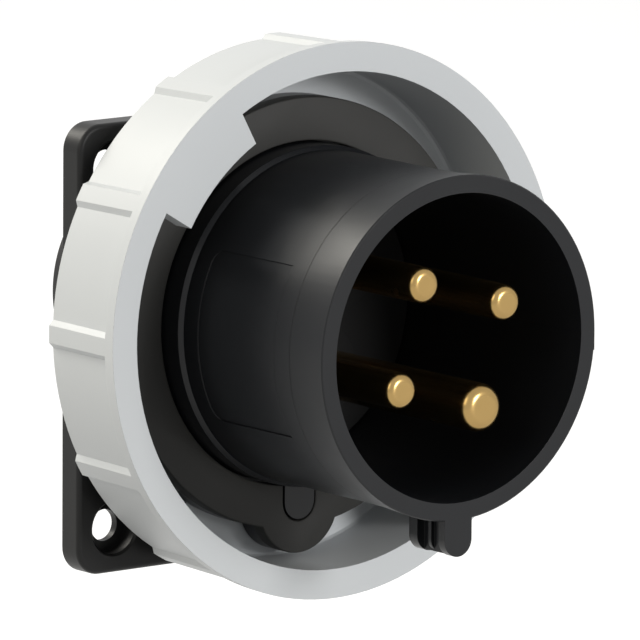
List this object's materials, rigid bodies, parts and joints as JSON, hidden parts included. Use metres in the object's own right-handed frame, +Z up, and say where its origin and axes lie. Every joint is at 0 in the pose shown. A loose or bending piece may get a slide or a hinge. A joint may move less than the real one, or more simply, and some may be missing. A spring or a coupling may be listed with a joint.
{
  "type": "cee panel inlet",
  "caption": "Round industrial panel inlet with a keyed collar, round contact pins, a bayonet locking ring and a square mounting flange.",
  "frame": {"origin": "collar's axis at the flange's rear face, which is the panel's face", "axes": "-Y out of the collar's mouth, +Y into the panel, +Z up as mounted, +X to the right as seen from the front"},
  "size_m": [0.0926, 0.0844, 0.0926],
  "materials": {
    "housing": "fine moulded texture, satin",
    "ring": "smooth moulded, satin",
    "shroud": "smooth moulded, satin",
    "carrier": "moulded, matte",
    "cover": "moulded, matte",
    "seal": "smooth, matte",
    "gasket": "matte",
    "contact_brass": "turned, bright",
    "screws": "zinc plated",
    "spring_steel": "rolled"
  },
  "bodies": {
    "inlet": {"flange_housing": "housing", "panel_gasket": "gasket", "front_seal": "seal", "shroud": "shroud", "shroud_o_ring": "seal", "shroud_screws": "screws", "pin_carrier": "carrier", "terminal_barrier": "cover", "carrier_retainer": "spring_steel", "pin_l1": "contact_brass", "pin_l2": "contact_brass", "pin_l3": "contact_brass", "pin_earth": "contact_brass", "clamp_plate_l1": "spring_steel", "clamp_plate_l2": "spring_steel", "clamp_plate_l3": "spring_steel", "clamp_plate_earth": "spring_steel", "terminal_screws": "screws", "terminal_cover": "cover", "cover_screw": "screws"},
    "locking_ring": {"bayonet_ring": "ring"}
  },
  "joints": [
    {"name": "ring_turn", "type": "hinge", "parent": "inlet", "child": "locking_ring", "pos_m": [0, 0, 0], "axis": [0, 1, 0], "range_deg": [0, 24]}
  ]
}
